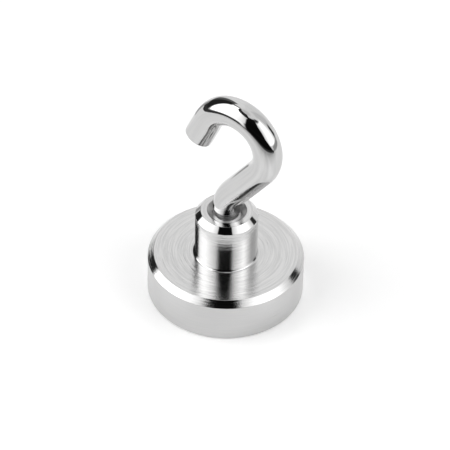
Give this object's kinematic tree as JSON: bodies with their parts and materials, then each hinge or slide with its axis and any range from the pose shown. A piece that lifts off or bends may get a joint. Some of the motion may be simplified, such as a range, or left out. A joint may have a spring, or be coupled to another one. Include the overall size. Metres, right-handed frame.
{
  "type": "pot magnet with screw-in hook",
  "caption": "Round steel pot magnet with a recessed magnet disc, a threaded boss on top and an open wire hook screwed into it, for holding or retrieving steel and hanging loads.",
  "frame": {"origin": "centre of the working face, at the level of the pot's rim", "axes": "+Z along the boss and the hook's shank, away from the working face; the hook lies in the XZ plane with its mouth towards -X"},
  "size_m": [0.02, 0.02, 0.0312],
  "materials": {
    "turned_nickel": "fine turned lines under bright nickel plate",
    "boss_nickel": "satin turned under bright nickel plate, polished chamfer",
    "magnet_coating": "bright nickel plate over sintered magnet",
    "adhesive": "cured clear adhesive",
    "epoxy": "dark potting resin, slightly glossy",
    "hook_nickel": "mirror bright nickel plate"
  },
  "bodies": {
    "magnet_pot": {"pot": "turned_nickel", "threaded_boss": "boss_nickel", "magnet": "magnet_coating", "adhesive_film": "adhesive", "epoxy_ring": "epoxy"},
    "hook": {"hook": "hook_nickel"}
  },
  "joints": [
    {"name": "hook_turn", "type": "hinge", "parent": "magnet_pot", "child": "hook", "pos_m": [0, 0, 0.0134], "axis": [0, 0, 1], "range_deg": [0, 3780]}
  ]
}
